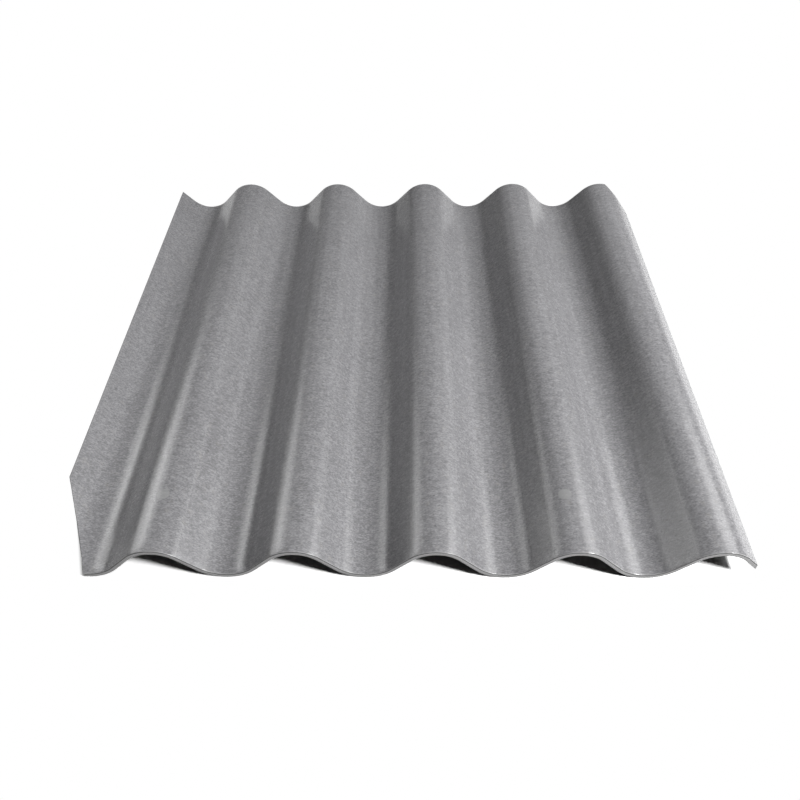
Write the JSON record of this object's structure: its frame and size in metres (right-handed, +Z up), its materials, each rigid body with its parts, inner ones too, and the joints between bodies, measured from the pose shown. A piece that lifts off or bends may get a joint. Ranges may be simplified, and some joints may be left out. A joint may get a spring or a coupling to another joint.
{
  "type": "corrugated fibre cement sheet",
  "caption": "Corrugated fibre cement roofing sheet with round waves and two opposite corners cut off for four-sheet laps.",
  "frame": {"origin": "centre of the bounding box on the floor that the valleys rest on", "axes": "+X across the waves towards the edge that falls after the last crest, +Y along the waves up the roof, +Z up"},
  "size_m": [0.895, 0.875, 0.0575],
  "materials": {
    "fibre_cement": "matt, mottled cement grey"
  },
  "bodies": {
    "root": {"sheet": "fibre_cement"}
  },
  "joints": []
}
